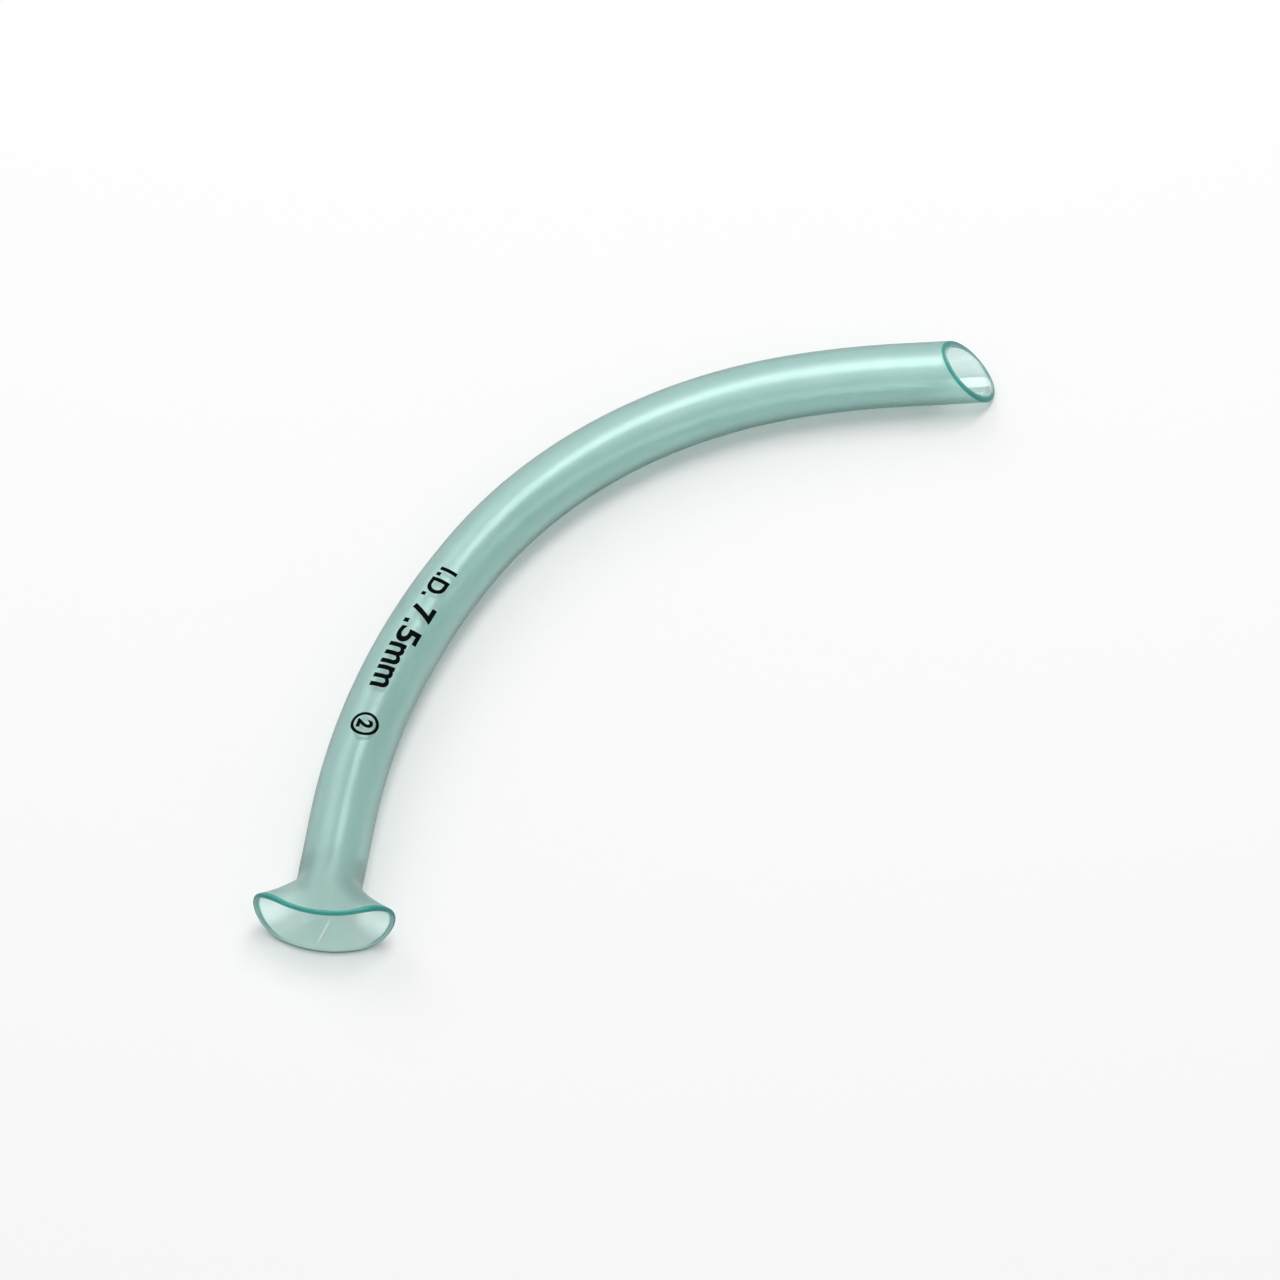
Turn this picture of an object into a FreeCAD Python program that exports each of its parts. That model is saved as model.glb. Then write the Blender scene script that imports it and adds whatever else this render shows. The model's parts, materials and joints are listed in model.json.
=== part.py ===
import FreeCAD, Part
import math
import os

import Sketcher
from FreeCAD import Placement, Rotation, Vector

# Nasopharyngeal airway: one moulded piece of soft tube, lying flat on its side.
# It is drawn about the middle of the flange's throat. The tube leaves along +Y and bends
# towards +X to its bevelled tip. The flange opens towards -Y and flares to both sides, and
# it stays as thick from top to bottom as the tube, so that the piece lies flat. The finished
# piece is then moved so that the origin is under its middle, on the surface it lies on.

# Driving dimensions, in millimetres and degrees
DIMENSIONS = {
    "lumen_diameter": 7.5,
    "tube_wall": 1.05,
    "root_run": 12.35,
    "near_bend_radius": 122.0,
    "near_bend_angle": 25.6,
    "mid_bend_radius": 75.6,
    "mid_bend_angle": 44.3,
    "far_bend_radius": 114.0,
    "far_bend_angle": 8.1,
    "tip_run": 14.95,
    "bevel_angle": 48.8,
    "flange_width": 21.55,
    "throat_radius": 1.2,
    "throat_angle": 46.0,
    "lip_angle": 72.0,
    "saddle_radius": 15.6,
    "rim_wall": 0.7,
    "throat_taper": 4.0,
    "edge_round": 0.4,
}

# The tube's bends, in order from the flange
BENDS = ("near_bend", "mid_bend", "far_bend")

# The blank is drawn this much past the tip and past the lips, and the cuts take it off
TIP_ALLOWANCE = 1.0
LIP_ALLOWANCE = 4.0

# No edge is rounded by more than this share of the rim's wall, so that the cut face stays
ROUND_SHARE = 0.7

# Sizes that follow from the driving ones, as formulas of the sheet's cells
LUMEN_RADIUS = "(sizes.lumen_diameter / 2)"
TUBE_RADIUS = "(sizes.lumen_diameter / 2 + sizes.tube_wall)"
MOUTH_RADIUS = f"({TUBE_RADIUS} - sizes.rim_wall)"
THROAT_REACH = f"({TUBE_RADIUS} + sizes.throat_radius * (1 - cos(sizes.throat_angle)))"
LIP_RADIUS = (
    f"((sizes.flange_width / 2 - {THROAT_REACH})"
    " / (cos(sizes.throat_angle) - cos(sizes.lip_angle)))"
)
LIP_DEPTH = (
    "(sizes.throat_radius * sin(sizes.throat_angle)"
    f" + {LIP_RADIUS} * (sin(sizes.lip_angle) - sin(sizes.throat_angle)))"
)
SADDLE_SWEEP = (
    "(sizes.saddle_radius - sqrt(sizes.saddle_radius ^ 2 - (sizes.flange_width / 2) ^ 2))"
)
BLANK_DEPTH = f"({LIP_DEPTH} + {SADDLE_SWEEP} + 2 * {TUBE_RADIUS} + {LIP_ALLOWANCE})"
BLANK_REACH = f"(sizes.flange_width / 2 + {TUBE_RADIUS} + {LIP_ALLOWANCE})"


def add_sizes(doc):
    """Keep the driving dimensions in a sheet, one named cell for each."""
    sheet = doc.addObject("Spreadsheet::Sheet", "sizes")
    for row, (name, value) in enumerate(DIMENSIONS.items(), start=1):
        sheet.set(f"A{row}", name)
        sheet.set(f"B{row}", str(value))
        sheet.setAlias(f"B{row}", name)
    doc.recompute()
    return sheet


def origin_plane(body, role):
    """Find one of the body's own origin planes."""
    return next(feature for feature in body.Origin.OriginFeatures if feature.Role == role)


def add_sketch(body, name, role):
    """Start a sketch on one of the body's own origin planes."""
    sketch = body.newObject("Sketcher::SketchObject", name)
    sketch.AttachmentSupport = [(origin_plane(body, role), "")]
    sketch.MapMode = "FlatFace"
    return sketch


def constrain(sketch, kind, *parts, formula=None):
    """Add one constraint, and tie it to its formula if it has one."""
    index = sketch.addConstraint(Sketcher.Constraint(kind, *parts))
    if formula:
        sketch.setExpression(f"Constraints[{index}]", formula)


def add_outline(sketch, corners):
    """Draw straight lines from each corner to the next, joined end to end."""
    lines = [
        sketch.addGeometry(Part.LineSegment(start, end), False)
        for start, end in zip(corners, corners[1:])
    ]
    for line, following in zip(lines, lines[1:]):
        constrain(sketch, "Coincident", line, 2, following, 1)
    return lines


class Run:
    """A chain of tangent lines and arcs in a sketch, drawn from the sketch's origin."""

    def __init__(self, sketch, heading):
        self.sketch = sketch
        self.point = Vector(0, 0, 0)
        self.heading = math.radians(heading)
        self.end = None

    def join(self, index, first, last):
        """Start a new piece where the one before it ends, in the same direction."""
        if self.end is None:
            constrain(self.sketch, "Coincident", index, first, -1, 1)
        else:
            constrain(self.sketch, "Tangent", *self.end, index, first)
        self.end = (index, last)

    def line(self, length, formula):
        """Go straight on."""
        step = Vector(math.cos(self.heading), math.sin(self.heading), 0) * length
        index = self.sketch.addGeometry(Part.LineSegment(self.point, self.point + step), False)
        self.join(index, 1, 2)
        constrain(self.sketch, "Distance", index, length, formula=formula)
        self.point += step
        return index

    def bend(self, radius, angle, radius_formula, angle_formula, leftward=False):
        """Turn to the right along an arc, or to the left."""
        side = 1 if leftward else -1
        turn = math.radians(angle)
        inward = self.heading + side * math.pi / 2
        centre = self.point + Vector(math.cos(inward), math.sin(inward), 0) * radius
        start = inward + math.pi
        stop = start + side * turn
        circle = Part.Circle(centre, Vector(0, 0, 1), radius)
        arc = Part.ArcOfCircle(circle, min(start, stop), max(start, stop))
        index = self.sketch.addGeometry(arc, False)
        self.join(index, *((1, 2) if leftward else (2, 1)))
        constrain(self.sketch, "Radius", index, radius, formula=radius_formula)
        constrain(self.sketch, "Angle", index, turn, formula=angle_formula)
        self.heading += side * turn
        self.point = centre + Vector(math.cos(stop), math.sin(stop), 0) * radius
        return index


def add_centreline(body, sheet):
    """Draw the tube's centreline: a straight root, three tangent bends and a straight tip."""
    sketch = add_sketch(body, "centreline", "XY_Plane")
    run = Run(sketch, 90)
    root = run.line(sheet.root_run, "sizes.root_run")
    constrain(sketch, "Vertical", root)
    for bend in BENDS:
        radius, angle = f"{bend}_radius", f"{bend}_angle"
        run.bend(sheet.get(radius), sheet.get(angle), f"sizes.{radius}", f"sizes.{angle}")
    run.line(sheet.tip_run + TIP_ALLOWANCE, f"sizes.tip_run + {TIP_ALLOWANCE}")
    body.Document.recompute()
    return sketch


def draw_flare_side(sketch, sheet):
    """Draw the middle line that a round side of the flange follows.

    The side's own surface runs beside it, one tube radius further out: a small radius at the
    throat, a wide one along the lip, and a straight allowance past the lip.
    """
    run = Run(sketch, 270)
    throat = run.bend(
        sheet.lumen_diameter,
        sheet.throat_angle,
        f"{TUBE_RADIUS} + sizes.throat_radius",
        "sizes.throat_angle",
        leftward=True,
    )
    constrain(sketch, "PointOnObject", throat, 3, -1)
    run.bend(
        sheet.flange_width,
        sheet.lip_angle - sheet.throat_angle,
        f"{TUBE_RADIUS} + {LIP_RADIUS}",
        "sizes.lip_angle - sizes.throat_angle",
        leftward=True,
    )
    run.line(LIP_ALLOWANCE, f"{LIP_ALLOWANCE}")
    return run


def add_round(body, name, sheet, radius, offset="0"):
    """Draw a round section across the tube's root, ahead of the throat by its offset."""
    sketch = add_sketch(body, name, "XZ_Plane")
    sketch.setExpression("AttachmentOffset.Base.z", offset)
    start = sheet.lumen_diameter / 2
    circle = Part.Circle(Vector(0, 0, 0), Vector(0, 0, 1), start)
    index = sketch.addGeometry(circle, False)
    constrain(sketch, "Coincident", index, 3, -1, 1)
    constrain(sketch, "Radius", index, start, formula=radius)
    return sketch


def add_half_round(body, name, sheet, radius):
    """Draw the half round section of a side of the flange, at the throat."""
    sketch = add_sketch(body, name, "XZ_Plane")
    start = sheet.lumen_diameter / 2
    circle = Part.Circle(Vector(0, 0, 0), Vector(0, 0, 1), start)
    arc = sketch.addGeometry(Part.ArcOfCircle(circle, -math.pi / 2, math.pi / 2), False)
    (chord,) = add_outline(sketch, [Vector(0, start, 0), Vector(0, -start, 0)])
    constrain(sketch, "Coincident", arc, 2, chord, 1)
    constrain(sketch, "Coincident", chord, 2, arc, 1)
    constrain(sketch, "Coincident", arc, 3, -1, 1)
    constrain(sketch, "PointOnObject", chord, 1, -2)
    constrain(sketch, "PointOnObject", chord, 2, -2)
    constrain(sketch, "Radius", arc, start, formula=radius)
    return sketch


def add_plan(body, name, sheet):
    """Draw the flat middle of one half of the flange, seen from above."""
    sketch = add_sketch(body, name, "XY_Plane")
    run = draw_flare_side(sketch, sheet)
    front = -2 * sheet.flange_width
    corners = [
        run.point,
        Vector(run.point.x, front, 0),
        Vector(0, front, 0),
        Vector(0, 0, 0),
    ]
    side, rim, middle = add_outline(sketch, corners)
    constrain(sketch, "Coincident", *run.end, side, 1)
    constrain(sketch, "Coincident", middle, 2, -1, 1)
    constrain(sketch, "Vertical", side)
    constrain(sketch, "Horizontal", rim)
    constrain(sketch, "Vertical", middle)
    constrain(sketch, "Distance", middle, -front, formula=BLANK_DEPTH)
    return sketch


def add_pipe(body, kind, name, profile, path):
    """Sweep a section along every piece of a path."""
    pipe = body.newObject(kind, name)
    pipe.Profile = profile
    pipe.Spine = (path, [f"Edge{number}" for number in range(1, path.GeometryCount + 1)])
    body.Document.recompute()
    return pipe


def add_slab(body, kind, name, profile, radius):
    """Give the flange's flat middle its thickness, half above and half below."""
    slab = body.newObject(kind, name)
    slab.Profile = profile
    slab.SideType = "Symmetric"
    slab.setExpression("Length", f"2 * {radius}")
    body.Document.recompute()
    return slab


def shape_flare(body, sheet, skin, radius, pipe_kind, slab_kind):
    """Shape the flange's outside or its inside: a round side, a flat middle, and their twins."""
    line = add_sketch(body, f"{skin}_side_line", "XY_Plane")
    draw_flare_side(line, sheet)
    section = add_half_round(body, f"{skin}_side_section", sheet, radius)
    body.Document.recompute()
    side = add_pipe(body, pipe_kind, f"{skin}_side", section, line)
    plan = add_plan(body, f"{skin}_plan", sheet)
    slab = add_slab(body, slab_kind, f"{skin}_middle", plan, radius)
    twins = body.newObject("PartDesign::Mirrored", f"{skin}_twins")
    twins.Originals = [side, slab]
    twins.MirrorPlane = (origin_plane(body, "YZ_Plane"), [""])
    body.Tip = twins
    body.Document.recompute()
    return twins


def open_throat(body, sheet):
    """Widen the lumen towards the mouth, where the wall thins to the rim's."""
    narrow = add_round(body, "taper_start", sheet, LUMEN_RADIUS, "-sizes.throat_taper")
    wide = add_round(body, "taper_end", sheet, MOUTH_RADIUS)
    taper = body.newObject("PartDesign::SubtractiveLoft", "throat_taper")
    taper.Profile = narrow
    taper.Sections = [wide]
    body.Document.recompute()
    return taper


def cut_through(body, name, sketch):
    """Take a sketched area off the piece, through its whole thickness."""
    before = body.Shape.Volume
    pocket = body.newObject("PartDesign::Pocket", name)
    pocket.Profile = sketch
    pocket.SideType = "Two sides"
    pocket.Type = "ThroughAll"
    pocket.Type2 = "ThroughAll"
    body.Document.recompute()
    if not body.Shape.Volume < before:
        raise RuntimeError(f"{name} takes nothing off")
    return pocket


def cut_saddle(body, sheet):
    """Trim the flange to a rim that sweeps back on both sides, round like a saddle."""
    sketch = add_sketch(body, "saddle_plan", "XY_Plane")
    radius = sheet.saddle_radius
    middle, front, edge = radius / 2, -2 * radius, 3 * radius
    circle = Part.Circle(Vector(0, middle, 0), Vector(0, 0, 1), radius)
    arc = sketch.addGeometry(Part.ArcOfCircle(circle, math.pi, 2 * math.pi), False)
    corners = [
        Vector(radius, middle, 0),
        Vector(edge, middle, 0),
        Vector(edge, front, 0),
        Vector(-edge, front, 0),
        Vector(-edge, middle, 0),
        Vector(-radius, middle, 0),
    ]
    right_top, right, bottom, left, left_top = add_outline(sketch, corners)
    constrain(sketch, "Coincident", arc, 2, right_top, 1)
    constrain(sketch, "Coincident", left_top, 2, arc, 1)
    for line in (right_top, bottom, left_top):
        constrain(sketch, "Horizontal", line)
    for line in (right, left):
        constrain(sketch, "Vertical", line)
    constrain(sketch, "PointOnObject", arc, 3, -2)
    constrain(sketch, "PointOnObject", arc, 3, right_top)
    constrain(sketch, "PointOnObject", arc, 3, left_top)
    constrain(sketch, "Radius", arc, radius, formula="sizes.saddle_radius")
    centre = f"sizes.saddle_radius - {SADDLE_SWEEP} - {LIP_DEPTH}"
    constrain(sketch, "DistanceY", -1, 1, arc, 3, middle, formula=centre)
    constrain(sketch, "DistanceY", right, 2, -1, 1, -front, formula=f"{BLANK_DEPTH} * 2")
    reach = f"sizes.saddle_radius + {BLANK_REACH}"
    constrain(sketch, "DistanceX", -1, 1, right, 2, edge, formula=reach)
    constrain(sketch, "DistanceX", left, 1, -1, 1, edge, formula=reach)
    return cut_through(body, "saddle", sketch)


def cut_bevel(body, sheet, path):
    """Cut the tip on a slant that faces straight up, square to the plane of the bends."""
    sketch = body.newObject("Sketcher::SketchObject", "bevel_side_view")
    sketch.AttachmentSupport = [(path, f"Edge{path.GeometryCount}")]
    sketch.MapMode = "NormalToEdge"
    sketch.MapPathParameter = 1.0
    sketch.AttachmentOffset = Placement(Vector(0, 0, 0), Rotation(Vector(0, 1, 0), 90))
    width = sheet.lumen_diameter
    low, high, corner = Vector(width, -width, 0), Vector(-width, width, 0), Vector(width, width, 0)
    slant, top, front = add_outline(sketch, [low, high, corner, low])
    tip = sketch.addGeometry(Part.Point(Vector(0, -width / 2, 0)), True)
    constrain(sketch, "Coincident", front, 2, slant, 1)
    constrain(sketch, "Horizontal", top)
    constrain(sketch, "Vertical", front)
    slope = math.radians(180 - sheet.bevel_angle)
    constrain(sketch, "Angle", slant, slope, formula="180 - sizes.bevel_angle")
    constrain(sketch, "PointOnObject", tip, 1, slant)
    constrain(sketch, "DistanceX", tip, 1, -1, 1, TIP_ALLOWANCE, formula=f"{TIP_ALLOWANCE}")
    constrain(sketch, "DistanceY", tip, 1, -1, 1, width / 2, formula=TUBE_RADIUS)
    constrain(sketch, "DistanceX", -1, 1, top, 2, width, formula=TUBE_RADIUS)
    constrain(sketch, "DistanceY", -1, 1, top, 2, width, formula=f"2 * {TUBE_RADIUS}")
    return cut_through(body, "bevel", sketch)


def is_cut_face(face, sheet):
    """Tell whether a face was left by the saddle cut or by the bevel, the one flat face that leans."""
    surface = face.Surface
    if isinstance(surface, Part.Cylinder):
        return math.isclose(surface.Radius, sheet.saddle_radius)
    return isinstance(surface, Part.Plane) and not math.isclose(abs(surface.Axis.z), 1.0)


def round_edges(body, sheet):
    """Round the outer edge of the rim and of the tip, which is what touches the nose."""
    trimmed = body.Tip
    cut_edges = [
        edge
        for face in body.Shape.Faces
        if is_cut_face(face, sheet)
        for edge in face.OuterWire.Edges
    ]
    names = [
        f"Edge{number}"
        for number, edge in enumerate(body.Shape.Edges, start=1)
        if any(edge.isSame(cut_edge) for cut_edge in cut_edges)
    ]
    fillet = body.newObject("PartDesign::Fillet", "polished_edges")
    fillet.Base = (trimmed, names)
    fillet.setExpression("Radius", f"min(sizes.edge_round; {ROUND_SHARE} * sizes.rim_wall)")
    body.Document.recompute()
    return fillet


def main():
    doc = FreeCAD.newDocument("airway")
    sheet = add_sizes(doc)
    body = doc.addObject("PartDesign::Body", "airway")
    body.Label = "Nasopharyngeal airway"
    path = add_centreline(body, sheet)

    # The outside: a round tube that opens into the flange
    section = add_round(body, "tube_section", sheet, TUBE_RADIUS)
    add_pipe(body, "PartDesign::AdditivePipe", "tube", section, path)
    shape_flare(
        body, sheet, "outer", TUBE_RADIUS, "PartDesign::AdditivePipe", "PartDesign::Pad"
    )

    # The inside: the lumen, its taper and the mouth, each at its own wall from the outside
    bore = add_round(body, "lumen_section", sheet, LUMEN_RADIUS)
    add_pipe(body, "PartDesign::SubtractivePipe", "lumen", bore, path)
    open_throat(body, sheet)
    shape_flare(
        body, sheet, "inner", MOUTH_RADIUS, "PartDesign::SubtractivePipe", "PartDesign::Pocket"
    )

    # The trims, which leave the rim and the tip
    cut_saddle(body, sheet)
    cut_bevel(body, sheet, path)
    round_edges(body, sheet)

    # Under the middle of the piece, on the surface it lies on
    box = body.Shape.optimalBoundingBox()
    body.Placement = Placement(Vector(-box.Center.x, -box.Center.y, -box.ZMin), Rotation())
    doc.recompute()

    for item in doc.Objects:
        if "Invalid" in item.State or "Error" in item.State:
            raise RuntimeError(f"{item.Name}: {item.State}")
    if body.Shape.isNull() or not body.Shape.isValid() or len(body.Shape.Solids) != 1:
        raise RuntimeError("the airway is not one sound solid")
    os.makedirs("parts", exist_ok=True)
    body.Shape.exportStep("parts/airway.step")


main()
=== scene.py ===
"""Looks of a nasopharyngeal airway: a curved soft tube with a flared flange and a bevelled tip."""

import json
import logging
import math
from dataclasses import dataclass, field, replace
from enum import Enum
from functools import partial
from typing import Callable

import bmesh
import bpy
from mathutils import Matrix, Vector


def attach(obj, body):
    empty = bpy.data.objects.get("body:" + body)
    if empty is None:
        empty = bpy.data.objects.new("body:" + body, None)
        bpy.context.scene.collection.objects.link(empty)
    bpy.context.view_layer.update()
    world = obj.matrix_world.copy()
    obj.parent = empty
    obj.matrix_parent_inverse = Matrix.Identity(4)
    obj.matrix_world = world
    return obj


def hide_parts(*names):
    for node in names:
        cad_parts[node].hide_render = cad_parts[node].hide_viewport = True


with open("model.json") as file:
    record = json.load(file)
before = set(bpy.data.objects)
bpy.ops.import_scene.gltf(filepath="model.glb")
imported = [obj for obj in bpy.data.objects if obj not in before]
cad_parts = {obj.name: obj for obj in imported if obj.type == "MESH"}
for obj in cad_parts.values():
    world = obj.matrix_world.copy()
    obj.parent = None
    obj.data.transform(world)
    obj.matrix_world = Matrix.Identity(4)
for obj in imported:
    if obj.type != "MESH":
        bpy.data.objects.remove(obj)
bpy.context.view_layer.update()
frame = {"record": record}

MM = 0.001

# A skin's direction at a cut is read over this length, in mm
TANGENT_STEP = 0.05

# A round takes no more than this share of the cut face
FACE_SHARE = 0.75

# Share of its reach over which an edge's painted teal glow is full
GLOW_FULL = 0.6

# Share of a cut face's width over which an edge's painted teal glow fades to painted pale light
# from the inside
GLOW_FADE = 0.3

# Share of the flange's flat at which its middle columns meet
FLAT_MIDDLE = 1e-9

# Points closer than the first are one, and edges or cuts finer than the second go, in mm
SAME_POINT = 1e-4
SLIVER = 1e-5

# Steps in which a round's foot and the saddle cut's place on a skin are found
FOOT_STEPS = 4
HALVINGS = 40

# The skin lies this far inside the drawing's outside, in mm, so that the print is flush with it
PRINT_DEPTH = 0.02

log = logging.getLogger("airway")


def linear(code: str) -> tuple[float, float, float, float]:
    """Turn an sRGB hex colour to linear light.

    Args:
        code: Six hex digits, such as "98c4ba".

    Returns:
        Red, green, blue and an alpha of 1, in linear light.
    """
    parts = [int(code[at : at + 2], 16) / 255 for at in (0, 2, 4)]
    curve = [part / 12.92 if part <= 0.04045 else ((part + 0.055) / 1.055) ** 2.4 for part in parts]
    return (*curve, 1.0)


def add_node(
    tree: bpy.types.NodeTree,
    kind: str,
    links: dict[str | int, bpy.types.NodeSocket] | None = None,
    values: dict[str | int, object] | None = None,
    **settings: object,
) -> bpy.types.Node:
    """Add one shader node with its settings, values and links.

    Args:
        tree: The node tree that gets the node.
        kind: The node's type name.
        links: Input socket name or number to the output that feeds it.
        values: Input socket name or number to its plain value.
        **settings: The node's own properties.

    Returns:
        The new node.
    """
    node = tree.nodes.new(kind)
    for name, value in settings.items():
        setattr(node, name, value)
    for name, value in (values or {}).items():
        node.inputs[name].default_value = value
    for name, output in (links or {}).items():
        tree.links.new(output, node.inputs[name])
    return node


def finished_mesh(name: str, mesh: bmesh.types.BMesh, throat: Vector) -> bpy.types.Object:
    """Turn a drawing in mm from the throat into an object in the row's frame.

    Args:
        name: The object's name.
        mesh: The drawing, which is freed.
        throat: Middle of the flange's throat in the row's frame, in mm.

    Returns:
        The object, linked to the scene.
    """
    bmesh.ops.recalc_face_normals(mesh, faces=mesh.faces)
    for vertex in mesh.verts:
        vertex.co = (vertex.co + throat) * MM
    data = bpy.data.meshes.new(name)
    mesh.to_mesh(data)
    mesh.free()
    piece = bpy.data.objects.new(name, data)
    bpy.context.scene.collection.objects.link(piece)
    return piece


# Paths in the plane that the airway lies in


@dataclass(frozen=True)
class Leg:
    """One piece of a path: straight on, or an arc to one side.

    Attributes:
        length: Length along the path, in mm.
        radius: Radius of the arc, in mm. Zero is a straight piece.
        leftward: Whether the arc turns to the left.
    """

    length: float
    radius: float = 0.0
    leftward: bool = False

    @classmethod
    def arc(cls, radius: float, angle: float, leftward: bool = False) -> "Leg":
        """Make an arc from its radius in mm and its angle in degrees."""
        return cls(radius * math.radians(angle), radius, leftward)


@dataclass(frozen=True)
class Station:
    """A point on a path, with the direction in which the path runs there.

    Attributes:
        point: The point, in mm.
        heading: The direction, in radians from +X.
    """

    point: Vector
    heading: float

    @property
    def forward(self) -> Vector:
        """Unit vector along the path."""
        return Vector((math.cos(self.heading), math.sin(self.heading), 0.0))

    @property
    def right(self) -> Vector:
        """Unit vector to the right of the path."""
        return Vector((math.sin(self.heading), -math.cos(self.heading), 0.0))


class Path:
    """A chain of tangent legs from the middle of the flange's throat."""

    def __init__(self, heading: float, legs: list[Leg]) -> None:
        """Start the path.

        Args:
            heading: Direction of the first leg, in degrees from +X.
            legs: The legs, in order.
        """
        self.legs = legs
        self.starts: list[tuple[float, Station]] = []
        station, run = Station(Vector((0.0, 0.0, 0.0)), math.radians(heading)), 0.0
        for leg in legs:
            self.starts.append((run, station))
            station = self.follow(leg, station, leg.length)
            run += leg.length
        self.length = run

    @staticmethod
    def follow(leg: Leg, start: Station, run: float) -> Station:
        """Go along one leg.

        Args:
            leg: The leg.
            start: Where it starts.
            run: How far to go, in mm.

        Returns:
            The station there.
        """
        if not leg.radius:
            return Station(start.point + start.forward * run, start.heading)
        side = 1 if leg.leftward else -1
        turn = side * run / leg.radius
        centre = start.point - start.right * leg.radius * side
        end = Station(Vector(), start.heading + turn)
        return Station(centre + end.right * leg.radius * side, end.heading)

    def at(self, run: float) -> Station:
        """Find a place on the path.

        Args:
            run: Distance along the path, in mm.

        Returns:
            The station there.
        """
        picked = self.legs[0], self.starts[0]
        for leg, start in zip(self.legs, self.starts):
            if run >= start[0]:
                picked = leg, start
        leg, (begun, station) = picked
        return self.follow(leg, station, run - begun)


class Section(Enum):
    """The parts of the flange's section: its rounded sides and the flats between them."""

    SIDE = "side"
    FLAT = "flat"


@dataclass(frozen=True)
class Spot:
    """A point of the skin, with what the finish needs to know there.

    Attributes:
        place: The point, from the throat, in mm.
        straight: Where it would be if the tube were straight, in mm.
        cut: 1 on a trimmed edge and on the outside next to it, as far as its painted teal glow
        reaches, and 0 elsewhere on the moulded skin.
        inner: 1 inside the piece and 0 outside.
        pale: 1 where a trimmed edge has painted pale light from the inside, and 0 where it has
        its painted teal glow.
    """

    place: Vector
    straight: Vector
    cut: float = 0.0
    inner: float = 0.0
    pale: float = 0.0

    def mirrored(self) -> "Spot":
        """Mirror the spot to the flange's other side.

        Returns:
            The spot there.
        """
        place, straight = self.place.copy(), self.straight.copy()
        place.x, straight.x = -place.x, -straight.x
        return replace(self, place=place, straight=straight)


Column = list[Spot]


@dataclass(frozen=True)
class Strip:
    """A line on a skin, from its start to the cut that ends it.

    Attributes:
        place: Gives the point at a distance along the strip, in mm.
        end: Distance of the cut, in mm.
    """

    place: Callable[[float], Vector]
    end: float

    @property
    def corner(self) -> Vector:
        """The sharp corner that the cut leaves."""
        return self.place(self.end)

    def rounded(self, across: Vector, radius: float, steps: int) -> tuple[float, list[Vector]]:
        """Round the corner between the skin and the cut face with an arc.

        Args:
            across: From this corner over the cut face to the other skin's, in mm.
            radius: Radius of the round, in mm.
            steps: Number of pieces in the arc.

        Returns:
            Where the skin stops, and the arc's points from the skin to the cut face.
        """
        corner, face = self.corner, across.normalized()
        back = (self.place(self.end - TANGENT_STEP) - corner).normalized()
        half = back.angle(face) / 2
        setback = min(radius / math.tan(half), across.length * FACE_SHARE)
        run = setback
        for _ in range(FOOT_STEPS):
            run *= setback / (self.place(self.end - run) - corner).length
        first, last = self.place(self.end - run), corner + face * setback
        middle = corner + ((first + last) / 2 - corner).normalized() * setback / math.cos(half)
        one, two = first - middle, last - middle
        sweep = one.angle(two)
        arc = [
            middle
            + (one * math.sin(sweep * (1 - share)) + two * math.sin(sweep * share))
            / math.sin(sweep)
            for share in (step / steps for step in range(steps + 1))
        ]
        return self.end - run, arc


@dataclass
class AirwaySizes:
    """The sizes of the moulded piece, in mm and degrees, as in its drawing."""

    lumen_radius: float = 3.75
    tube_radius: float = 4.8 - PRINT_DEPTH
    rim_wall: float = 0.7
    throat_taper: float = 4.0
    root_run: float = 12.35
    bends: tuple[tuple[float, float], ...] = ((122.0, 25.6), (75.6, 44.3), (114.0, 8.1))
    tip_run: float = 14.93
    bevel_angle: float = 48.8
    flange_width: float = 21.45
    throat_radius: float = 1.2
    throat_angle: float = 46.0
    lip_angle: float = 72.0
    lip_allowance: float = 4.0
    saddle_radius: float = 15.6
    outer_round: float = 0.4
    inner_round: float = 0.25

    @property
    def mouth_radius(self) -> float:
        """Half the height inside the flange."""
        return self.tube_radius - self.rim_wall

    def taper_radius(self, run: float) -> float:
        """Radius of the taper behind the throat, at a distance from it in mm."""
        return self.mouth_radius + (self.lumen_radius - self.mouth_radius) * run / self.throat_taper

    @property
    def lip_radius(self) -> float:
        """Radius of the flange's side along the lip."""
        throat, lip = math.radians(self.throat_angle), math.radians(self.lip_angle)
        reach = self.tube_radius + self.throat_radius * (1 - math.cos(throat))
        return (self.flange_width / 2 - reach) / (math.cos(throat) - math.cos(lip))

    @property
    def lip_depth(self) -> float:
        """How far the lips are ahead of the throat."""
        throat, lip = math.radians(self.throat_angle), math.radians(self.lip_angle)
        lip_part = self.lip_radius * (math.sin(lip) - math.sin(throat))
        return self.throat_radius * math.sin(throat) + lip_part

    @property
    def saddle_centre(self) -> float:
        """Y of the saddle cut's centre."""
        return math.sqrt(self.saddle_radius**2 - (self.flange_width / 2) ** 2) - self.lip_depth


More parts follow.
